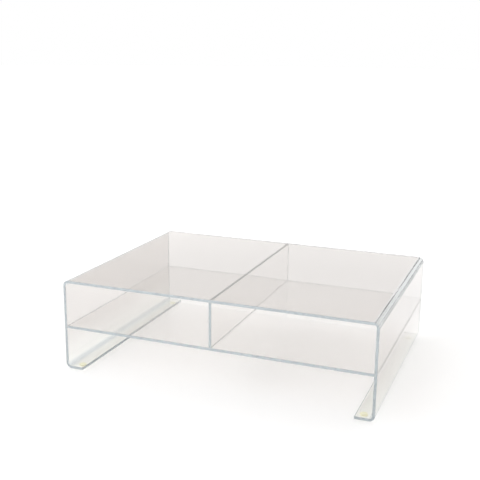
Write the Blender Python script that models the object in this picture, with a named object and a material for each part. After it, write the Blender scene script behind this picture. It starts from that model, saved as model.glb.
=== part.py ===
"""A clear acrylic monitor riser: one bent sheet as the shell, a shelf and a divider cemented inside it,
and four stick-on feet.

Metres, +Z up. The origin is on the desk, under the middle of the stand. The open front faces -Y and
the stand's left is -X.
"""

from math import cos, pi, sin, tan

import bmesh
import bpy
from mathutils import Matrix, Vector

QUARTER = pi / 2

# Overall sizes
WIDTH = 0.5588  # over the outside of the two sides
DEPTH = 0.4064  # front edge to back edge
SHELL_HEIGHT = 0.1635  # underside of the foot flanges to the top face

# Shell
SHELL_SHEET = 0.0048
BEND_OUTER = 0.0105  # outside radius of each bend
BEND_INNER = 0.004  # inside radius; the hot sheet stretches round it and thins a little
FLANGE_REACH = 0.033  # outer face of a side to the free end of its foot flange
BEND_STEPS = 12  # facets in a quarter turn

# Shelf and divider
SHELF_SHEET = 0.0048
SHELF_LEVEL = 0.0803  # underside of the foot flanges to the shelf's top face
DIVIDER_SHEET = 0.0048
DIVIDER_OFFSET = 0.0  # middle of the stand to the middle of the divider
EDGE_SETBACK = 0.0004  # shelf and divider edges, inside the shell's front and back edges

# Polished edges
ARRIS = 0.0004
ARRIS_STEPS = 2
SHARP_ANGLE = 0.6  # radians: bends are smoother than this, and cut edges are sharper
PARALLEL = 1e-6  # an edge this far off a direction or less runs along it

# Joints
SEATING_GAP = 0.0002  # between a face and the cement or adhesive on it
CEMENT_FILM = 0.0002
ADHESIVE_FILM = 0.0002
CEMENT_INSET = 0.0008  # the cement stops short of a panel's front and back edges

# Feet
FOOT_DIAMETER = 0.0127
FOOT_HEIGHT = 0.003  # desk to the underside of the flange
FOOT_DRAFT = 0.3  # radians that a foot's side leans in from upright, towards the base
FOOT_ROUND = 0.0008  # rounding between a foot's side and its base
FOOT_ROUND_STEPS = 4
FOOT_FACETS = 48
FOOT_FROM_EDGE = 0.0195  # front or back edge to a foot's middle
ADHESIVE_INSET = 0.0003  # the adhesive disc's rim, inside the foot's rim

# What follows from them
FLANGE_UNDERSIDE = FOOT_HEIGHT
TOP_FACE = FLANGE_UNDERSIDE + SHELL_HEIGHT
TOP_UNDERSIDE = TOP_FACE - SHELL_SHEET
SIDE_INNER = WIDTH / 2 - SHELL_SHEET
SHELF_TOP = FLANGE_UNDERSIDE + SHELF_LEVEL
CEMENT_JOINT = CEMENT_FILM + 2 * SEATING_GAP
ADHESIVE_JOINT = ADHESIVE_FILM + 2 * SEATING_GAP
PANEL_DEPTH = DEPTH - 2 * EDGE_SETBACK
CEMENT_LENGTH = PANEL_DEPTH - 2 * CEMENT_INSET
SHELF_LENGTH = 2 * (SIDE_INNER - CEMENT_JOINT)
DIVIDER_LOW = SHELF_TOP + CEMENT_JOINT
DIVIDER_HIGH = TOP_UNDERSIDE - CEMENT_JOINT
FOOT_PAD = FOOT_HEIGHT - ADHESIVE_JOINT
# The foot sits in the middle of the flange's flat, between the bend and the free end.
FOOT_X = WIDTH / 2 - (BEND_OUTER + FLANGE_REACH) / 2
FOOT_Y = DEPTH / 2 - FOOT_FROM_EDGE


def clear_scene():
    for old in list(bpy.data.objects):
        bpy.data.objects.remove(old, do_unlink=True)


def material(name, colour, roughness, transmission, ior):
    """A Principled finish; nothing on the stand is metal."""
    made = bpy.data.materials.new(name)
    made.use_nodes = True
    made.diffuse_color = (*colour, 1.0)
    shader = made.node_tree.nodes["Principled BSDF"]
    shader.inputs["Base Color"].default_value = (*colour, 1.0)
    shader.inputs["Roughness"].default_value = roughness
    shader.inputs["Metallic"].default_value = 0.0
    shader.inputs["Transmission Weight"].default_value = transmission
    shader.inputs["IOR"].default_value = ior
    return made


def add_object(name, shape, finish):
    """Puts a finished bmesh, whose faces point outwards, into the scene as one named object."""
    mesh = bpy.data.meshes.new(name)
    shape.to_mesh(mesh)
    shape.free()
    mesh.materials.append(finish)
    made = bpy.data.objects.new(name, mesh)
    bpy.context.scene.collection.objects.link(made)
    return made


def quarter_turn(centre, radius, start):
    """Points of a quarter arc in the XZ plane, clockwise from the angle start."""
    points = []
    for step in range(BEND_STEPS + 1):
        angle = start - QUARTER * step / BEND_STEPS
        points.append((centre[0] + radius * cos(angle), centre[1] + radius * sin(angle)))
    return points


def bent_line(depth, radius):
    """A line at this depth in the shell's sheet, seen from the front: clockwise from the left flange's free
    end over the top to the right one's, with its corners rounded."""
    side = WIDTH / 2 - depth
    low = FLANGE_UNDERSIDE + depth
    high = TOP_FACE - depth
    flange_end = WIDTH / 2 - FLANGE_REACH
    points = [(-flange_end, low)]
    points += quarter_turn((radius - side, low + radius), radius, -QUARTER)
    points += quarter_turn((radius - side, high - radius), radius, 2 * QUARTER)
    points += quarter_turn((side - radius, high - radius), radius, QUARTER)
    points += quarter_turn((side - radius, low + radius), radius, 0.0)
    points.append((flange_end, low))
    return points


def bent_shell(finish):
    """The sheet between its outer and its inner face, from front to back."""
    shape = bmesh.new()
    lines = (bent_line(0.0, BEND_OUTER), bent_line(SHELL_SHEET, BEND_INNER))
    front_outer, front_inner, back_outer, back_inner = [
        [shape.verts.new((x, y, z)) for x, z in line]
        for y in (-DEPTH / 2, DEPTH / 2)
        for line in lines
    ]
    strips = (
        (front_outer, front_inner),
        (back_outer, back_inner),
        (front_outer, back_outer),
        (front_inner, back_inner),
    )
    for one, other in strips:
        for step in range(len(one) - 1):
            shape.faces.new((one[step], one[step + 1], other[step + 1], other[step]))
    for end in (0, -1):
        shape.faces.new((front_outer[end], front_inner[end], back_inner[end], back_outer[end]))
    bmesh.ops.recalc_face_normals(shape, faces=shape.faces)
    made = add_object("bent_shell", shape, finish)
    edge = made.modifiers.new("polished_edge", "BEVEL")
    edge.width = ARRIS
    edge.segments = ARRIS_STEPS
    edge.limit_method = "ANGLE"
    edge.angle_limit = SHARP_ANGLE
    made.data.shade_smooth()
    made.data.set_sharp_from_angle(angle=SHARP_ANGLE)


def block(size):
    """A plain block about the origin."""
    shape = bmesh.new()
    bmesh.ops.create_cube(shape, size=1.0, matrix=Matrix.Diagonal((*size, 1.0)))
    return shape


def flat_panel(name, size, cut_along, place, finish):
    """A flat panel whose front and back edges are polished. cut_along is the direction that those edges
    run in; the faces that are cemented stay square."""
    shape = block(size)
    direction = Vector(cut_along)
    edges = [
        edge
        for edge in shape.edges
        if (edge.verts[1].co - edge.verts[0].co).cross(direction).length < PARALLEL
    ]
    bmesh.ops.bevel(
        shape, geom=edges, offset=ARRIS, segments=ARRIS_STEPS, profile=0.5, affect="EDGES"
    )
    made = add_object(name, shape, finish)
    made.location = place


def cement_line(name, size, place, finish):
    """The cement that fills a joint, as long as the panel's cemented edge and as wide as its sheet."""
    made = add_object(name, block(size), finish)
    made.location = place


def turned(name, profile, finish):
    """A solid of revolution about Z, from points (radius, height) that start and end on the axis."""
    shape = bmesh.new()
    ring = [shape.verts.new((radius, 0.0, height)) for radius, height in profile]
    edges = [shape.edges.new(pair) for pair in zip(ring, ring[1:])]
    bmesh.ops.spin(
        shape,
        geom=ring + edges,
        cent=(0.0, 0.0, 0.0),
        axis=(0.0, 0.0, 1.0),
        angle=2 * pi,
        steps=FOOT_FACETS,
        use_merge=True,
    )
    bmesh.ops.remove_doubles(shape, verts=shape.verts, dist=1e-6)
    bmesh.ops.recalc_face_normals(shape, faces=shape.faces)
    made = add_object(name, shape, finish)
    made.data.shade_smooth()
    made.data.set_sharp_from_angle(angle=SHARP_ANGLE)
    return made


def foot_profile():
    """The foot in section: a flat base on the desk, a rounded rim that runs into a side with draft, a flat
    top."""
    rim = FOOT_DIAMETER / 2
    side_low = FOOT_ROUND * (1.0 - sin(FOOT_DRAFT))
    flat = rim - FOOT_ROUND * cos(FOOT_DRAFT) - (FOOT_PAD - side_low) * tan(FOOT_DRAFT)
    points = [(0.0, 0.0)]
    for step in range(FOOT_ROUND_STEPS + 1):
        angle = (QUARTER - FOOT_DRAFT) * step / FOOT_ROUND_STEPS - QUARTER
        points.append((flat + FOOT_ROUND * cos(angle), FOOT_ROUND + FOOT_ROUND * sin(angle)))
    return points + [(rim, FOOT_PAD), (0.0, FOOT_PAD)]


def adhesive_profile():
    rim = FOOT_DIAMETER / 2 - ADHESIVE_INSET
    low = FOOT_PAD + SEATING_GAP
    high = low + ADHESIVE_FILM
    return [(0.0, low), (rim, low), (rim, high), (0.0, high)]


def feet(pad_finish, adhesive_finish):
    """A foot and its adhesive disc under each end of each flange."""
    for across, side in ((-1, "left"), (1, "right")):
        for along, end in ((-1, "front"), (1, "back")):
            place = (across * FOOT_X, along * FOOT_Y, 0.0)
            pad = turned(f"foot_{end}_{side}", foot_profile(), pad_finish)
            pad.location = place
            disc = turned(f"foot_adhesive_{end}_{side}", adhesive_profile(), adhesive_finish)
            disc.location = place


def shelf(finish, cement):
    """The shelf, and the cement between each of its ends and the side that it meets."""
    middle = SHELF_TOP - SHELF_SHEET / 2
    flat_panel("shelf", (SHELF_LENGTH, PANEL_DEPTH, SHELF_SHEET), (1, 0, 0), (0.0, 0.0, middle), finish)
    joint_x = SIDE_INNER - CEMENT_JOINT / 2
    for across, side in ((-1, "left"), (1, "right")):
        cement_line(
            f"shelf_cement_{side}",
            (CEMENT_FILM, CEMENT_LENGTH, SHELF_SHEET),
            (across * joint_x, 0.0, middle),
            cement,
        )


def divider(finish, cement):
    """The divider, and the cement along its foot and its head."""
    height = DIVIDER_HIGH - DIVIDER_LOW
    middle = (DIVIDER_HIGH + DIVIDER_LOW) / 2
    size = (DIVIDER_SHEET, PANEL_DEPTH, height)
    flat_panel("divider", size, (0, 0, 1), (DIVIDER_OFFSET, 0.0, middle), finish)
    joints = (
        ("foot", DIVIDER_LOW - CEMENT_JOINT / 2),
        ("head", DIVIDER_HIGH + CEMENT_JOINT / 2),
    )
    for end, height_of_joint in joints:
        cement_line(
            f"divider_cement_{end}",
            (DIVIDER_SHEET, CEMENT_LENGTH, CEMENT_FILM),
            (DIVIDER_OFFSET, 0.0, height_of_joint),
            cement,
        )


def main():
    clear_scene()
    acrylic = material("clear_acrylic", (0.86, 0.91, 0.92), 0.05, 1.0, 1.49)
    cement = material("acrylic_cement", (0.93, 0.95, 0.95), 0.2, 0.8, 1.49)
    pad = material("clear_urethane", (0.90, 0.86, 0.62), 0.3, 0.5, 1.5)
    adhesive = material("clear_adhesive", (0.88, 0.86, 0.76), 0.5, 0.5, 1.47)
    bent_shell(acrylic)
    shelf(acrylic, cement)
    divider(acrylic, cement)
    feet(pad, adhesive)


main()
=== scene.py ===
"""Clear acrylic monitor riser, in full detail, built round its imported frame.

The shell is one sheet bent four times. A shelf and a divider are cemented inside it, and it stands on
four soft bumpers that are stuck under its foot flanges. Metres, +Z up, front towards -Y.
"""

from math import cos, pi, radians, sin, tan

import bmesh
import bpy
from bpy.props import FloatProperty, FloatVectorProperty, IntProperty, PointerProperty
from mathutils import Matrix, Quaternion, Vector


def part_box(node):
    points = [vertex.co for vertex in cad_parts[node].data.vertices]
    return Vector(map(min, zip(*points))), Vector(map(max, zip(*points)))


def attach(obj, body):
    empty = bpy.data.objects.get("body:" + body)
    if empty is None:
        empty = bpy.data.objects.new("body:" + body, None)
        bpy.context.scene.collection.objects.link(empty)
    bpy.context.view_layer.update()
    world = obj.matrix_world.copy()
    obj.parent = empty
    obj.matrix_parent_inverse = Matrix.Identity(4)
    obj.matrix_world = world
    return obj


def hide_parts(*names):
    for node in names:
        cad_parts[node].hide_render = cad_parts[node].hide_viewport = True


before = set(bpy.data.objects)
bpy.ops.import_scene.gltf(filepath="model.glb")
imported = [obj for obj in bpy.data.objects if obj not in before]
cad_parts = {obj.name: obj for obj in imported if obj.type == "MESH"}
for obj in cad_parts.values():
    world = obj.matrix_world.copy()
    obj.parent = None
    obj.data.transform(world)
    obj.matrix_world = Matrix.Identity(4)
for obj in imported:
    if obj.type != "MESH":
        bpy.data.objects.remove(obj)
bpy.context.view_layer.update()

bl_info = {
    "name": "Acrylic Monitor Riser",
    "version": (1, 0, 0),
    "blender": (4, 5, 0),
    "location": "3D View > Sidebar > Riser",
    "description": "Builds a clear acrylic monitor riser round its packed frame",
    "category": "Add Mesh",
}

BODY = "root"

SHELL_LOW, SHELL_HIGH = (Vector(corner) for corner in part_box("bent_shell"))
SHELF_LOW, SHELF_HIGH = (Vector(corner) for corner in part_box("shelf"))
DIVIDER_LOW, DIVIDER_HIGH = (Vector(corner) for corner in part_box("divider"))
SEAMS = ("shelf_cement_left", "shelf_cement_right", "divider_cement_foot", "divider_cement_head")
CORNERS = [f"{end}_{side}" for end in ("front", "back") for side in ("left", "right")]

SHEET = SHELF_HIGH.z - SHELF_LOW.z  # one stock thickness for every panel
WALL, CEILING = SHELL_HIGH.x - SHEET, SHELL_HIGH.z - SHEET  # the shell's inner faces
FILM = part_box("shelf_cement_left")[1][0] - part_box("shelf_cement_left")[0][0]
BENT_CORNERS = 6  # free end, bottom bend and top bend on each side
UP = Vector((0, 0, 1))
WHITE, BLACK = (1.0, 1.0, 1.0), (0.0, 0.0, 0.0)

# How the sheet is worked
SHARP = radians(35)  # an edge turns at least this much before it is rounded
ARRIS_STEPS = 3
CUT_FACING = 0.3  # how squarely a face has to look out of the sheet to be a cut edge
CUT_MARGIN = 0.0006  # takes in the rounding of the flange's cut edge
BEND_FACING = 0.02  # a face that leans more than this is part of a bend

# How the cement runs
FILM_FACETS = 160
FILM_UNEVEN = 0.06
FILM_GRAIN = 140.0
BUBBLE_SPREAD = 0.46  # of the seam's size, to each side of its middle
BUBBLE_THICKNESS = 0.03
SMALLEST_BUBBLE = 0.3  # of the largest

# How the feet are moulded
FOOT_ROUNDING = 0.0008
FOOT_LEAN = 0.3  # radians
FOOT_FACETS = 96
ROUNDING_STEPS = 12
FOOT_SHARP = radians(40)

# What the finishes are made of
ACRYLIC_IOR = 1.49
HAZE = (0.012, 0.02)  # the least roughness of a face, and what wiping adds
LOW_FADE = 0.06  # height over which the flange's tint passes into the sheet's

# The room
ROOM_TONES = [
    (0.0, (1.0, 1.0, 1.0, 1.0)),
    (0.06, (1.0, 1.0, 1.0, 1.0)),
    (0.16, (0.85, 0.835, 0.82, 1.0)),
    (0.40, (0.85, 0.84, 0.83, 1.0)),
    (0.65, (0.90, 0.90, 0.90, 1.0)),
    (1.0, (0.95, 0.95, 0.95, 1.0)),
]
# Strength of the floor's painted glow, which whitens it away from the stand
SWEEP_GLOW = 0.6
KEY_AIM = (0.0, 0.0, 0.1)
CAMERA_PLACE = (0.5029, -1.3601, 0.5853)
CAMERA_AZIMUTH, CAMERA_ELEVATION, CAMERA_ROLL = radians(21.31), radians(14.14), radians(0.62)


def flange_free_end():
    """How far from the middle of the stand the foot flanges end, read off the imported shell."""
    low = [v.co for v in bpy.data.objects["bent_shell"].data.vertices if v.co.z < SHELL_LOW.z + SHEET]
    return min(abs(co.x) for co in low)


FLANGE_END = flange_free_end()
FLANGE_TOP = SHELL_LOW.z + SHEET


class Socket:
    """An output socket of a node tree. Arithmetic on it adds Math nodes to the tree."""

    def __init__(self, wires, socket):
        self.wires = wires
        self.socket = socket

    def math(self, operation, *values):
        return self.wires.node("ShaderNodeMath", {"operation": operation}, dict(enumerate(values)))

    def __add__(self, other):
        return self.math("ADD", self, other)

    def __radd__(self, other):
        return self.math("ADD", other, self)

    def __sub__(self, other):
        return self.math("SUBTRACT", self, other)

    def __rsub__(self, other):
        return self.math("SUBTRACT", other, self)

    def __mul__(self, other):
        return self.math("MULTIPLY", self, other)

    def __rmul__(self, other):
        return self.math("MULTIPLY", other, self)

    def __truediv__(self, other):
        return self.math("DIVIDE", self, other)

    def __rtruediv__(self, other):
        return self.math("DIVIDE", other, self)

    def __lt__(self, other):
        return self.math("LESS_THAN", self, other)

    def __gt__(self, other):
        return self.math("GREATER_THAN", self, other)


class Wires:
    """One node tree being built."""

    def __init__(self, tree):
        self.tree = tree

    def feed(self, socket, value):
        if isinstance(value, Socket):
            self.tree.links.new(value.socket, socket)
        else:
            socket.default_value = value

    def node(self, kind, settings=None, sockets=None, out=0):
        """Adds a node: its settings first, then its sockets, each by name or number, as a value or a link."""
        made = self.tree.nodes.new(kind)
        for setting, value in (settings or {}).items():
            if setting == "stops":
                self.ramp(made.color_ramp, value)
            else:
                setattr(made, setting, value)
        for key, value in (sockets or {}).items():
            self.feed(made.inputs[key], value)
        return Socket(self, made.outputs[out])

    @staticmethod
    def ramp(ramp, stops):
        while len(ramp.elements) > 1:
            ramp.elements.remove(ramp.elements[-1])
        ramp.elements[0].position, ramp.elements[0].color = stops[0]
        for position, colour in stops[1:]:
            ramp.elements.new(position).color = colour


class Finish(Wires):
    """A material being built."""

    def __init__(self, name):
        self.material = bpy.data.materials.new(name)
        self.material.use_nodes = True
        super().__init__(self.material.node_tree)
        self.tree.nodes.clear()
        self.place = self.node("ShaderNodeTexCoord", out="Object")

    def noise(self, scale, detail=2.0, roughness=0.5, stretch=None):
        place = self.place
        if stretch:
            place = self.node("ShaderNodeMapping", {}, {"Vector": place, "Scale": stretch})
        return self.node(
            "ShaderNodeTexNoise",
            {},
            {"Vector": place, "Scale": scale, "Detail": detail, "Roughness": roughness},
        )

    def between(self, factor, first, second):
        """A colour from first to second."""
        return self.node(
            "ShaderNodeMix",
            {"data_type": "RGBA"},
            {0: factor, 6: (*first, 1.0), 7: (*second, 1.0)},
            out=2,
        )

    def bump(self, height, distance, under=None):
        sockets = {"Height": height, "Distance": distance, "Strength": 1.0}
        if under:
            sockets["Normal"] = under
        return self.node("ShaderNodeBump", {}, sockets)

    def principled(self, **values):
        sockets = {key.replace("_", " "): value for key, value in values.items()}
        return self.node("ShaderNodeBsdfPrincipled", {}, sockets, out="BSDF")

    def clear_to_lamps(self, shader, tint):
        """Rays to the lamps go straight through, so that clear plastic throws only a faint shadow."""
        lamp_ray = self.node("ShaderNodeLightPath", out="Is Shadow Ray")
        through = self.node("ShaderNodeBsdfTransparent", {}, {"Color": (*tint, 1.0)})
        return self.node("ShaderNodeMixShader", {}, {0: lamp_ray, 1: shader, 2: through})

    def surface(self, shader):
        out = self.tree.nodes.new("ShaderNodeOutputMaterial")
        self.feed(out.inputs["Surface"], shader)
        return self.material


class GeometryTree(Wires):
    """A geometry tree with named inputs."""

    def __init__(self, name, inputs):
        super().__init__(bpy.data.node_groups.new(name, "GeometryNodeTree"))
        for label, kind in inputs:
            self.tree.interface.new_socket(label, in_out="INPUT", socket_type=kind)
        self.tree.interface.new_socket("Geometry", in_out="OUTPUT", socket_type="NodeSocketGeometry")
        self.group = self.tree.nodes.new("NodeGroupInput")

    def given(self, label):
        return Socket(self, self.group.outputs[label])

    def vector(self, operation, first, second=None, scale=None):
        sockets = {0: first}
        if second is not None:
            sockets[1] = second
        if scale is not None:
            sockets["Scale"] = scale
        return self.node("ShaderNodeVectorMath", {"operation": operation}, sockets)

    def join(self, *pieces):
        joined = self.node("GeometryNodeJoinGeometry")
        for piece in pieces:
            self.tree.links.new(piece.socket, joined.socket.node.inputs[0])
        return joined

    def ends_in(self, geometry, material):
        """Closes the tree: everything is made real and takes the material."""
        real = self.node("GeometryNodeRealizeInstances", {}, {"Geometry": geometry})
        dressed = self.node("GeometryNodeSetMaterial", {}, {"Geometry": real, "Material": material})
        out = self.tree.nodes.new("NodeGroupOutput")
        self.feed(out.inputs[0], dressed)
        return self.tree


def grow(name, tree, values):
    """A new object that holds the plain mesh that a geometry tree makes from the values of its inputs."""
    made = bpy.data.objects.new(name, bpy.data.meshes.new(name))
    bpy.context.scene.collection.objects.link(made)
    modifier = made.modifiers.new("grow", "NODES")
    modifier.node_group = tree
    for item in tree.interface.items_tree:
        if item.in_out == "INPUT":
            modifier[item.identifier] = values[item.name]
    settle(made)
    filled = [material for material in made.data.materials if material]
    made.data.materials.clear()
    for material in filled:
        made.data.materials.append(material)
    return made


def settle(made):
    """Turns an object's modifiers into its own plain mesh."""
    bpy.context.view_layer.update()
    graph = bpy.context.evaluated_depsgraph_get()
    mesh = bpy.data.meshes.new_from_object(
        made.evaluated_get(graph), preserve_all_data_layers=True, depsgraph=graph
    )
    made.modifiers.clear()
    made.data = mesh
    mesh.name = made.name


def polish(made, arris):
    """Rounds every sharp edge a little, as polishing does, and keeps the flat faces optically flat."""
    edge = made.modifiers.new("arris", "BEVEL")
    edge.width = arris
    edge.segments = ARRIS_STEPS
    edge.limit_method = "ANGLE"
    edge.angle_limit = SHARP
    for face in made.data.polygons:
        face.use_smooth = True
    weighted = made.modifiers.new("flat_faces", "WEIGHTED_NORMAL")
    weighted.weight = 100
    settle(made)


def cut_edges(made, edge_finish, flange=False):
    """Gives the sheet's cut edges their own finish: the front and back ones, and the free end of a flange."""
    made.data.materials.append(edge_finish)
    for face in made.data.polygons:
        at_end = abs(face.normal.y) > CUT_FACING
        near_flange_end = abs(face.center.x) < FLANGE_END + CUT_MARGIN and face.center.z < FLANGE_TOP
        if at_end or (flange and near_flange_end and abs(face.normal.x) > CUT_FACING):
            face.material_index = 1


def place_piece(made, nodes):
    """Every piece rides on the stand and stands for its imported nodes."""
    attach(made, BODY)
    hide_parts(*nodes)


# Finishes


def shades(tint, shade):
    """A tint made lighter or darker."""
    return [min(c * shade, 1.0) for c in tint]


def clear_acrylic(name, look, tint, low_tint=None):
    """Clear sheet: faintly wavy, with a little wiped-on haze. A low tint takes over near the desk."""
    made = Finish(name)
    broad = made.noise(7.0, 1.0)
    fine = made.noise(90.0, 2.0)
    haze = made.noise(35.0, 4.0, 0.6)
    wave = made.bump(broad, look.sheet_wave)
    if low_tint is None:
        colour = made.between(broad, tint, shades(tint, 0.985))
    else:
        # Near the desk the low tint, with less of the shell's painted shade, takes over from the tint
        height = made.node("ShaderNodeSeparateXYZ", {}, {0: made.place}, out="Z")
        colour = made.between((height - FLANGE_TOP) / LOW_FADE, low_tint, tint)
    smoothest, wiped = HAZE
    glass = made.principled(
        Base_Color=colour,
        Roughness=smoothest + haze * wiped,
        IOR=ACRYLIC_IOR,
        Transmission_Weight=1.0,
        Normal=made.bump(fine, look.sheet_wave * 0.02, under=wave),
    )
    return made.surface(made.clear_to_lamps(glass, look.lamp_tint))


def shell_face(look):
    """The shell's flat faces: their tint holds painted shade, with clearer foot flanges that hold little of
    it.
    """
    return clear_acrylic("shell_face", look, look.sheet_tint_and_shade, look.flange_tint)


def shell_bend(look):
    """The bends: a bluer tint that paints in the blue-grey lines light draws along a bend."""
    return clear_acrylic("shell_bend", look, look.bend_tint_and_shade)


def panel_face(look):
    """The faces of the shelf and the divider."""
    return clear_acrylic("panel_face", look, look.panel_tint)


def acrylic_edge(look):
    """The polished cut edge: the light that travels along the sheet and leaves here, blue-grey and bright, is
    painted in as a half opaque body over the edge's own blue-grey.

    What the saw and the flame left breaks it up, as lighter and darker flecks in that painted glow.
    """
    made = Finish("acrylic_edge")
    fleck = (made.noise(400.0, 2.0, 0.6) - 0.5) * look.edge_flecks + 0.4
    chatter = made.noise(900.0, 2.0, 0.5, stretch=(1.0, 0.15, 1.0))
    saw = made.bump(chatter, 0.00002)
    clear = made.principled(
        Base_Color=made.between(fleck, *(shades(look.edge_tint_and_glow, shade) for shade in (1.05, 1.5))),
        Roughness=0.05 + chatter * 0.08,
        IOR=ACRYLIC_IOR,
        Transmission_Weight=1.0,
        Normal=saw,
    )
    # painted glow: an opaque body of the bright edge colour stands in for light carried along the sheet
    glow = made.principled(
        Base_Color=made.between(fleck, *(shades(look.edge_tint_and_glow, shade) for shade in (0.88, 1.3))),
        Roughness=0.16 + chatter * 0.1,
        IOR=ACRYLIC_IOR,
        Normal=saw,
    )
    both = made.node("ShaderNodeMixShader", {}, {0: look.edge_painted_glow, 1: clear, 2: glow})
    return made.surface(made.clear_to_lamps(both, look.lamp_tint))


def cement_finish(look):
    """Set cement: pale, cloudy and half clear."""
    made = Finish("cement")
    patch = made.noise(60.0, 4.0, 0.6)
    pale = made.between(patch, (0.38, 0.41, 0.42), (0.58, 0.61, 0.615))
    body = made.principled(
        Base_Color=pale,
        Roughness=0.25 + patch * 0.2,
        IOR=ACRYLIC_IOR,
        Transmission_Weight=0.4,
        Normal=made.bump(patch, 0.0001),
    )
    return made.surface(made.clear_to_lamps(body, (0.85, 0.87, 0.88)))


def urethane_finish(look):
    """Soft bumper rubber, yellowed a little."""
    made = Finish("urethane")
    cloud = made.noise(120.0, 3.0)
    tone = made.between(cloud, look.foot_tint, shades(look.foot_tint, 0.94))
    body = made.principled(
        Base_Color=tone,
        Roughness=0.22 + cloud * 0.12,
        IOR=1.5,
        Transmission_Weight=0.15,
        Normal=made.bump(made.noise(900.0), 0.00002),
    )
    return made.surface(made.clear_to_lamps(body, (0.85, 0.82, 0.62)))


def adhesive_finish(look):
    """Grainy pale adhesive, seen through the flange."""
    made = Finish("adhesive")
    grain = made.noise(400.0, 3.0)
    tone = made.between(grain, (0.90, 0.87, 0.64), (0.97, 0.95, 0.76))
    body = made.principled(
        Base_Color=tone,
        Roughness=0.35 + grain * 0.2,
        IOR=1.47,
        Transmission_Weight=0.1,
        Normal=made.bump(grain, 0.00003),
    )
    return made.surface(made.clear_to_lamps(body, (0.85, 0.83, 0.72)))


def finish(name, maker):
    """The finish of that name, made once."""
    found = bpy.data.materials.get(name)
    return found or maker(bpy.context.scene.riser_look)


# What a user would change


class RiserShape(bpy.types.PropertyGroup):
    """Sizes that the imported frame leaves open."""

    bend_outer: FloatProperty(
        name="Outer radius",
        description="Outside radius of each bend",
        default=0.0105,
        min=0.006,
        unit="LENGTH",
    )
    bend_inner: FloatProperty(
        name="Inner radius", description="Inside radius of each bend", default=0.004, min=0.001, unit="LENGTH"
    )
    bend_facets: IntProperty(name="Bend facets", description="Facets in a quarter turn", default=32, min=4)
    arris: FloatProperty(
        name="Arris", description="Rounding of a polished edge", default=0.0004, min=0.0001, unit="LENGTH"
    )
    joint_clearance: FloatProperty(
        name="Joint clearance",
        description="Air between a panel and its cement",
        default=0.00003,
        unit="LENGTH",
        precision=5,
    )
    bubbles: IntProperty(name="Bubbles", description="Bubbles trapped in each cement line", default=70, min=0)
    bubble_radius: FloatProperty(
        name="Bubble radius",
        description="Largest bubble in the cement",
        default=0.0007,
        unit="LENGTH",
        precision=5,
    )


class RiserLook(bpy.types.PropertyGroup):
    """Colours and finish."""

    # The sheet's faint tint, deepened as painted shade over what shows through the shell
    sheet_tint_and_shade: FloatVectorProperty(
        name="Sheet",
        description="What a sheet lets through",
        default=(0.80, 0.774, 0.757),
        subtype="COLOR",
    )
    # Bluer than the sheet, to paint in the blue-grey lines that light draws along a bend
    bend_tint_and_shade: FloatVectorProperty(
        name="Bends",
        description="What a bend lets through",
        default=(0.745, 0.772, 0.78),
        subtype="COLOR",
    )
    # Clearer than the sheet: the flanges carry little of its painted shade
    flange_tint: FloatVectorProperty(
        name="Flanges",
        description="What the foot flanges let through",
        default=(0.95, 0.955, 0.93),
        subtype="COLOR",
    )
    panel_tint: FloatVectorProperty(
        name="Panels",
        description="What the shelf and the divider let through",
        default=(0.97, 0.962, 0.955),
        subtype="COLOR",
    )
    lamp_tint: FloatVectorProperty(
        name="Shadow",
        description="What a sheet's face lets through of lamp light",
        default=(0.935, 0.93, 0.925),
        subtype="COLOR",
    )
    sheet_wave: FloatProperty(
        name="Wave",
        description="Height of the sheet's slow waves",
        default=0.0003,
        unit="LENGTH",
        precision=5,
    )
    # The edge's own blue-grey, made bright to paint in light carried along the sheet
    edge_tint_and_glow: FloatVectorProperty(
        name="Edge",
        description="Colour of the polished cut edges",
        default=(0.475, 0.518, 0.54),
        subtype="COLOR",
    )
    # How much of a cut edge is the opaque painted glow rather than clear glass
    edge_painted_glow: FloatProperty(
        name="Edge body",
        description="How much a cut edge shows its own colour",
        default=0.6,
        min=0.0,
        max=1.0,
        subtype="FACTOR",
    )
    edge_flecks: FloatProperty(
        name="Edge flecks", description="Contrast of the flecks in a cut edge", default=3.2, min=0.0
    )
    foot_tint: FloatVectorProperty(
        name="Feet",
        description="Colour of the bumpers",
        default=(0.98, 0.945, 0.70),
        subtype="COLOR",
    )


class RiserStudio(bpy.types.PropertyGroup):
    """Floor, light and camera."""

    floor_radius: FloatProperty(
        name="Floor",
        description="Radius of the floor",
        default=14.0,
        unit="LENGTH",
    )
    floor_tint: FloatVectorProperty(
        name="Floor tint",
        description="Colour of the floor",
        default=(0.95, 0.95, 0.95),
        subtype="COLOR",
    )
    # Inside this radius no painted glow lights the floor, only the lamps do
    floor_plain: FloatProperty(
        name="Plain floor",
        description="Radius round the stand that only the lights light",
        default=0.5,
        unit="LENGTH",
    )
    # From this radius out the floor's painted glow makes the sweep all white
    floor_bright: FloatProperty(
        name="White floor",
        description="Radius where the sweep is all white",
        default=1.6,
        unit="LENGTH",
    )
    sky_strength: FloatProperty(name="Surroundings", description="Brightness of the room", default=1.0)
    key_power: FloatProperty(
        name="Key",
        description="Power of the large soft light",
        default=47.0,
        unit="POWER",
    )
    key_turn: FloatProperty(
        name="Key direction",
        description="Turn of the key from straight ahead",
        default=radians(-49),
        subtype="ANGLE",
    )
    key_rise: FloatProperty(
        name="Key height",
        description="Angle of the key above the floor",
        default=radians(51),
        subtype="ANGLE",
    )
    key_distance: FloatProperty(
        name="Key distance",
        description="From the stand to the key",
        default=3.4,
        unit="LENGTH",
    )
    key_size: FloatProperty(
        name="Key size",
        description="Across the soft light",
        default=2.4,
        unit="LENGTH",
    )
    light_bounces: IntProperty(
        name="Bounces",
        description="How often light may turn inside a sheet before it leaves",
        default=64,
        min=12,
    )
    lens: FloatProperty(name="Lens", description="Focal length of the camera", default=61.15, unit="CAMERA")


# The shell


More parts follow.
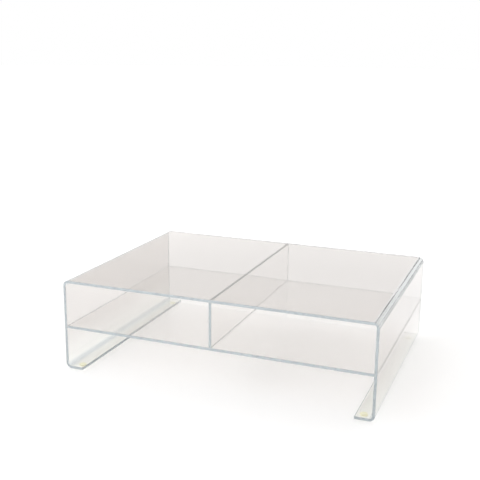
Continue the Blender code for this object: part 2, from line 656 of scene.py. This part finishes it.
def bent_sheet_tree():
    """One sheet: up from a foot flange, over the top and down to the other, from the front edge to the back.

    Its two faces are lines with corners of different radii, because the hot sheet thins a little where it
    bends.
    """
    tree = GeometryTree(
        "bent_sheet",
        [
            ("Width", "NodeSocketFloat"),
            ("Front", "NodeSocketFloat"),
            ("Depth", "NodeSocketFloat"),
            ("Low", "NodeSocketFloat"),
            ("High", "NodeSocketFloat"),
            ("Flange End", "NodeSocketFloat"),
            ("Sheet", "NodeSocketFloat"),
            ("Outer Radius", "NodeSocketFloat"),
            ("Inner Radius", "NodeSocketFloat"),
            ("Bend Facets", "NodeSocketInt"),
            ("Material", "NodeSocketMaterial"),
        ],
    )
    facets = tree.given("Bend Facets")
    number = tree.node("GeometryNodeInputIndex")
    from_end = number.math("MINIMUM", number, BENT_CORNERS - 1 - number)
    side = (number > BENT_CORNERS / 2 - 0.5) * 2 - 1

    def bent_line(inset, radius):
        """One face of the sheet in section, that far inside the outer face."""
        wall = tree.given("Width") / 2 - inset
        low = tree.given("Low") + inset
        high = tree.given("High") - inset
        across = side * (wall + (from_end < 0.5) * (tree.given("Flange End") - wall))
        rise = low + (from_end > 1.5) * (high - low)
        corner = tree.node("ShaderNodeCombineXYZ", {}, {"X": across, "Z": rise})
        line = tree.node("GeometryNodeMeshLine", {}, {"Count": BENT_CORNERS})
        line = tree.node("GeometryNodeSetPosition", {}, {"Geometry": line, "Position": corner})
        line = tree.node("GeometryNodeMeshToCurve", {}, {"Mesh": line})
        sockets = {"Curve": line, "Count": facets, "Radius": radius, "Limit Radius": True}
        return tree.node("GeometryNodeFilletCurve", {"mode": "POLY"}, sockets)

    place = tree.node("GeometryNodeInputPosition")
    pair = tree.node("ShaderNodeMath", {"operation": "FLOOR"}, {0: number / 2})

    def sampled(line):
        """The point of a line that a pair of the section's points stands at."""
        settings = {"data_type": "FLOAT_VECTOR", "domain": "POINT"}
        sockets = {"Geometry": line, "Value": place, "Index": pair}
        return tree.node("GeometryNodeSampleIndex", settings, sockets)

    outer = sampled(bent_line(0.0, tree.given("Outer Radius")))
    inner = sampled(bent_line(tree.given("Sheet"), tree.given("Inner Radius")))
    which = number - pair * 2
    point = tree.node("ShaderNodeMix", {"data_type": "VECTOR"}, {0: which, 4: outer, 5: inner}, out=1)
    front = tree.node("ShaderNodeCombineXYZ", {}, {"Y": tree.given("Front")})
    at_front = tree.vector("ADD", point, front)
    points = (facets + 1) * (BENT_CORNERS - 2) + 2
    section = tree.node("GeometryNodeMeshGrid", {}, {"Vertices X": points, "Vertices Y": 2})
    section = tree.node("GeometryNodeSetPosition", {}, {"Geometry": section, "Position": at_front})
    back = tree.node("ShaderNodeCombineXYZ", {}, {"Y": tree.given("Depth")})
    drawn = tree.node(
        "GeometryNodeExtrudeMesh",
        {"mode": "FACES"},
        {"Mesh": section, "Offset": back, "Offset Scale": 1.0, "Individual": False},
    )
    turned_over = tree.node("GeometryNodeFlipFaces", {}, {"Mesh": section})
    whole = tree.node(
        "GeometryNodeMergeByDistance", {}, {"Geometry": tree.join(drawn, turned_over), "Distance": 1e-6}
    )
    return tree.ends_in(whole, tree.given("Material"))


class RISER_OT_shell(bpy.types.Operator):
    """Bend the shell from one sheet"""

    bl_idname = "riser.shell"
    bl_label = "Shell"

    def execute(self, context):
        shape = context.scene.riser_shape
        values = {
            "Width": SHELL_HIGH.x - SHELL_LOW.x,
            "Front": SHELL_LOW.y,
            "Depth": SHELL_HIGH.y - SHELL_LOW.y,
            "Low": SHELL_LOW.z,
            "High": SHELL_HIGH.z,
            "Flange End": FLANGE_END,
            "Sheet": SHEET,
            "Outer Radius": shape.bend_outer,
            "Inner Radius": shape.bend_inner,
            "Bend Facets": shape.bend_facets,
            "Material": finish("shell_face", shell_face),
        }
        shell = grow("shell", bent_sheet_tree(), values)
        polish(shell, shape.arris)
        cut_edges(shell, finish("acrylic_edge", acrylic_edge), flange=True)
        shell.data.materials.append(finish("shell_bend", shell_bend))
        for face in shell.data.polygons:
            leans = min(abs(face.normal.x), abs(face.normal.z)) > BEND_FACING
            if leans and face.material_index == 0:
                face.material_index = 2
        place_piece(shell, ["bent_shell"])
        return {"FINISHED"}


# The panels


def panel(name, low, high, arris):
    """A flat panel with polished edges."""
    shape = bmesh.new()
    size = high - low
    bmesh.ops.create_cube(
        shape, size=1.0, matrix=Matrix.Translation((low + high) / 2) @ Matrix.Diagonal((*size, 1.0))
    )
    mesh = bpy.data.meshes.new(name)
    shape.to_mesh(mesh)
    shape.free()
    made = bpy.data.objects.new(name, mesh)
    bpy.context.scene.collection.objects.link(made)
    mesh.materials.append(finish("panel_face", panel_face))
    polish(made, arris)
    cut_edges(made, finish("acrylic_edge", acrylic_edge))
    return made


class RISER_OT_shelf(bpy.types.Operator):
    """Cut and polish the shelf"""

    bl_idname = "riser.shelf"
    bl_label = "Shelf"

    def execute(self, context):
        shape = context.scene.riser_shape
        reach = WALL - FILM - 2 * shape.joint_clearance
        low = Vector((-reach, *SHELF_LOW.yz))
        high = Vector((reach, *SHELF_HIGH.yz))
        made = panel("shelf_panel", low, high, shape.arris)
        place_piece(made, ["shelf"])
        return {"FINISHED"}


class RISER_OT_divider(bpy.types.Operator):
    """Cut and polish the divider"""

    bl_idname = "riser.divider"
    bl_label = "Divider"

    def execute(self, context):
        shape = context.scene.riser_shape
        joint = FILM + 2 * shape.joint_clearance
        low = Vector((*DIVIDER_LOW.xy, SHELF_HIGH.z + joint))
        high = Vector((*DIVIDER_HIGH.xy, CEILING - joint))
        made = panel("divider_panel", low, high, shape.arris)
        place_piece(made, ["divider"])
        return {"FINISHED"}


# The cement


def seam_tree():
    """Cement run into a joint: a film with a slightly uneven outline and a few trapped bubbles."""
    tree = GeometryTree(
        "seam",
        [
            ("Middle", "NodeSocketVector"),
            ("Size", "NodeSocketVector"),
            ("Uneven", "NodeSocketFloat"),
            ("Bubbles", "NodeSocketInt"),
            ("Bubble Radius", "NodeSocketFloat"),
            ("Seed", "NodeSocketInt"),
            ("Material", "NodeSocketMaterial"),
        ],
    )
    size = tree.given("Size")
    film = tree.node("GeometryNodeMeshCube", {}, {"Size": size, "Vertices Y": FILM_FACETS})
    place = tree.node("GeometryNodeInputPosition")
    ragged = tree.node("ShaderNodeTexNoise", {}, {"Vector": place, "Scale": FILM_GRAIN, "Detail": 3.0})
    shrink = ragged * tree.given("Uneven") * -1
    inward = tree.node("ShaderNodeCombineXYZ", {}, {"X": shrink, "Z": shrink})
    shift = tree.vector("MULTIPLY", place, inward)
    film = tree.node("GeometryNodeSetPosition", {}, {"Geometry": film, "Offset": shift})
    spread = {
        0: tree.vector("SCALE", size, scale=-BUBBLE_SPREAD),
        1: tree.vector("SCALE", size, scale=BUBBLE_SPREAD),
        "Seed": tree.given("Seed"),
    }
    spot = tree.node("FunctionNodeRandomValue", {"data_type": "FLOAT_VECTOR"}, spread)
    inside = tree.vector("MULTIPLY", spot, (0.9, 1.0, 0.9))
    points = tree.node("GeometryNodeMeshLine", {}, {"Count": tree.given("Bubbles")})
    points = tree.node("GeometryNodeSetPosition", {}, {"Geometry": points, "Position": inside})
    sizes = {2: SMALLEST_BUBBLE, 3: 1.0, "Seed": tree.given("Seed") + 1}
    grown = tree.node("FunctionNodeRandomValue", {"data_type": "FLOAT"}, sizes, out=1)
    radius = grown * tree.given("Bubble Radius")
    flat = tree.vector("MINIMUM", tree.vector("SCALE", size, scale=BUBBLE_THICKNESS), radius)
    bubble = tree.node("GeometryNodeMeshIcoSphere", {}, {"Radius": 1.0, "Subdivisions": 2})
    bubbles = {"Points": points, "Instance": bubble, "Scale": flat}
    whole = tree.join(film, tree.node("GeometryNodeInstanceOnPoints", {}, bubbles))
    whole = tree.node("GeometryNodeTransform", {}, {"Geometry": whole, "Translation": tree.given("Middle")})
    return tree.ends_in(whole, tree.given("Material"))


class RISER_OT_seams(bpy.types.Operator):
    """Run the cement into each joint"""

    bl_idname = "riser.seams"
    bl_label = "Cement"

    def execute(self, context):
        shape = context.scene.riser_shape
        tree = seam_tree()
        for number, node in enumerate(SEAMS):
            low, high = (Vector(corner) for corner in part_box(node))
            against = {
                "shelf_cement_left": Vector((shape.joint_clearance - WALL - low.x, 0, 0)),
                "shelf_cement_right": Vector((WALL - shape.joint_clearance - high.x, 0, 0)),
                "divider_cement_foot": Vector((0, 0, SHELF_HIGH.z + shape.joint_clearance - low.z)),
                "divider_cement_head": Vector((0, 0, CEILING - shape.joint_clearance - high.z)),
            }[node]
            values = {
                "Middle": (low + high) / 2 + against,
                "Size": high - low,
                "Uneven": FILM_UNEVEN,
                "Bubbles": shape.bubbles,
                "Bubble Radius": shape.bubble_radius,
                "Seed": number,
                "Material": finish("cement", cement_finish),
            }
            seam = grow(node.replace("cement", "seam"), tree, values)
            place_piece(seam, [node])
        return {"FINISHED"}


# The feet


def turned(name, profile, centre, material):
    """A solid of revolution from points (radius, height) that start and end on the axis."""
    shape = bmesh.new()
    ring = [shape.verts.new((centre[0] + radius, centre[1], height)) for radius, height in profile]
    edges = [shape.edges.new(pair) for pair in zip(ring, ring[1:])]
    bmesh.ops.spin(
        shape,
        geom=ring + edges,
        cent=(centre[0], centre[1], 0.0),
        axis=UP,
        angle=2 * pi,
        steps=FOOT_FACETS,
        use_merge=True,
    )
    bmesh.ops.remove_doubles(shape, verts=shape.verts, dist=1e-7)
    bmesh.ops.recalc_face_normals(shape, faces=shape.faces)
    mesh = bpy.data.meshes.new(name)
    shape.to_mesh(mesh)
    shape.free()
    mesh.materials.append(material)
    mesh.shade_smooth()
    mesh.set_sharp_from_angle(angle=FOOT_SHARP)
    made = bpy.data.objects.new(name, mesh)
    bpy.context.scene.collection.objects.link(made)
    return made


def foot_profile(rim, low, high):
    """Half a bumper in section: flat below, a rounded lower rim, a side that leans out to the flange."""
    side_low = FOOT_ROUNDING * (1 - sin(FOOT_LEAN))
    flat = rim - FOOT_ROUNDING * cos(FOOT_LEAN) - (high - side_low) * tan(FOOT_LEAN)
    profile = [(0.0, 0.0)]
    for step in range(ROUNDING_STEPS + 1):
        angle = (pi / 2 - FOOT_LEAN) * step / ROUNDING_STEPS - pi / 2
        profile.append((flat + FOOT_ROUNDING * cos(angle), low + FOOT_ROUNDING * (1 + sin(angle))))
    return [*profile, (rim, high), (0.0, high)]


class RISER_OT_feet(bpy.types.Operator):
    """Mould the bumpers and their adhesive discs"""

    bl_idname = "riser.feet"
    bl_label = "Feet"

    def execute(self, context):
        for corner in CORNERS:
            low, high = (Vector(c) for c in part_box(f"foot_{corner}"))
            centre = (low + high) / 2
            profile = foot_profile((high.x - low.x) / 2, low.z, high.z)
            foot = turned(f"bumper_{corner}", profile, centre, finish("urethane", urethane_finish))
            place_piece(foot, [f"foot_{corner}"])
            low, high = (Vector(c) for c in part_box(f"foot_adhesive_{corner}"))
            rim = (high.x - low.x) / 2
            profile = [(0.0, low.z), (rim, low.z), (rim, high.z), (0.0, high.z)]
            disc = turned(f"sticker_{corner}", profile, centre, finish("adhesive", adhesive_finish))
            place_piece(disc, [f"foot_adhesive_{corner}"])
        return {"FINISHED"}


# The stage


def floor_finish(studio):
    """A pale matt sweep with a painted glow, by emission, that brightens it to white away from the stand."""
    made = Finish("studio_floor")
    cloud = made.noise(1.5, 2.0)
    tone = made.between(cloud, studio.floor_tint, shades(studio.floor_tint, 0.99))
    # painted glow: none near the stand, growing to full with the distance from it
    away = made.node("ShaderNodeVectorMath", {"operation": "LENGTH"}, {0: made.place}, out=1)
    lit = made.node(
        "ShaderNodeMapRange",
        {"interpolation_type": "SMOOTHSTEP"},
        {"Value": away, "From Min": studio.floor_plain, "From Max": studio.floor_bright},
    )
    glow = made.between(lit, BLACK, WHITE)
    sweep = made.principled(Base_Color=tone, Roughness=0.7, Emission_Color=glow, Emission_Strength=SWEEP_GLOW)
    return made.surface(sweep)


def surroundings(strength):
    """A room round the stand: white near the floor, warm grey higher up, brighter again overhead."""
    world = bpy.data.worlds.new("studio")
    world.use_nodes = True
    sky = Wires(world.node_tree)
    sky.tree.nodes.clear()
    direction = sky.node("ShaderNodeTexCoord", out="Generated")
    height = sky.node("ShaderNodeSeparateXYZ", {}, {0: direction}, out="Z")
    room = sky.node("ShaderNodeValToRGB", {"stops": ROOM_TONES}, {"Fac": height})
    glow = sky.node("ShaderNodeBackground", {}, {"Color": room, "Strength": strength})
    out = sky.tree.nodes.new("ShaderNodeOutputWorld")
    sky.feed(out.inputs["Surface"], glow)
    bpy.context.scene.world = world


def key_light(studio):
    """One large soft light, high in front and to the left of the stand."""
    turn, rise = studio.key_turn, studio.key_rise
    lamp = bpy.data.lights.new("key", "AREA")
    lamp.shape = "DISK"
    lamp.size = studio.key_size
    lamp.energy = studio.key_power
    made = bpy.data.objects.new("key", lamp)
    made.location = Vector((sin(turn) * cos(rise), -cos(turn) * cos(rise), sin(rise))) * studio.key_distance
    made.rotation_euler = (Vector(KEY_AIM) - made.location).to_track_quat("-Z", "Y").to_euler()
    bpy.context.scene.collection.objects.link(made)


def stand_camera(studio):
    """The camera, a little above the stand and to its right."""
    camera = bpy.data.cameras.new("camera")
    camera.lens = studio.lens
    camera.sensor_width = 36.0
    camera.clip_end = 100.0
    made = bpy.data.objects.new("camera", camera)
    level = cos(CAMERA_ELEVATION)
    back = Vector((sin(CAMERA_AZIMUTH) * level, -cos(CAMERA_AZIMUTH) * level, sin(CAMERA_ELEVATION)))
    made.location = CAMERA_PLACE
    made.rotation_mode = "QUATERNION"
    made.rotation_quaternion = (-back).to_track_quat("-Z", "Y") @ Quaternion(UP, CAMERA_ROLL)
    bpy.context.scene.collection.objects.link(made)
    bpy.context.scene.camera = made


class RISER_OT_stage(bpy.types.Operator):
    """Lay the floor, light the room and stand the camera"""

    bl_idname = "riser.stage"
    bl_label = "Stage"

    def execute(self, context):
        studio = context.scene.riser_studio
        shape = bmesh.new()
        bmesh.ops.create_circle(shape, cap_ends=True, segments=96, radius=studio.floor_radius)
        mesh = bpy.data.meshes.new("floor")
        shape.to_mesh(mesh)
        shape.free()
        mesh.materials.append(floor_finish(studio))
        floor = bpy.data.objects.new("floor", mesh)
        context.scene.collection.objects.link(floor)
        surroundings(studio.sky_strength)
        key_light(studio)
        context.scene.view_settings.view_transform = "Standard"
        light = context.scene.cycles
        light.max_bounces = light.glossy_bounces = light.transmission_bounces = studio.light_bounces
        stand_camera(studio)
        return {"FINISHED"}


# The add-on


class RISER_PT_panel(bpy.types.Panel):
    """Settings and one button for each piece"""

    bl_label = "Monitor Riser"
    bl_idname = "RISER_PT_panel"
    bl_space_type = "VIEW_3D"
    bl_region_type = "UI"
    bl_category = "Riser"

    def draw(self, context):
        for name, group in GROUPS.items():
            box = self.layout.box()
            for setting in group.__annotations__:
                box.prop(getattr(context.scene, name), setting)
        for operator in OPERATORS:
            self.layout.operator(operator.bl_idname)


GROUPS = {"riser_shape": RiserShape, "riser_look": RiserLook, "riser_studio": RiserStudio}
OPERATORS = (
    RISER_OT_stage,
    RISER_OT_shell,
    RISER_OT_shelf,
    RISER_OT_divider,
    RISER_OT_seams,
    RISER_OT_feet,
)
CLASSES = (*GROUPS.values(), *OPERATORS, RISER_PT_panel)


def register():
    for made in CLASSES:
        bpy.utils.register_class(made)
    for name, group in GROUPS.items():
        setattr(bpy.types.Scene, name, PointerProperty(type=group))


def unregister():
    for name in GROUPS:
        delattr(bpy.types.Scene, name)
    for made in reversed(CLASSES):
        bpy.utils.unregister_class(made)


def main():
    register()
    for operator in OPERATORS:
        getattr(bpy.ops.riser, operator.bl_idname.split(".")[1])()


if __name__ == "__main__":
    main()
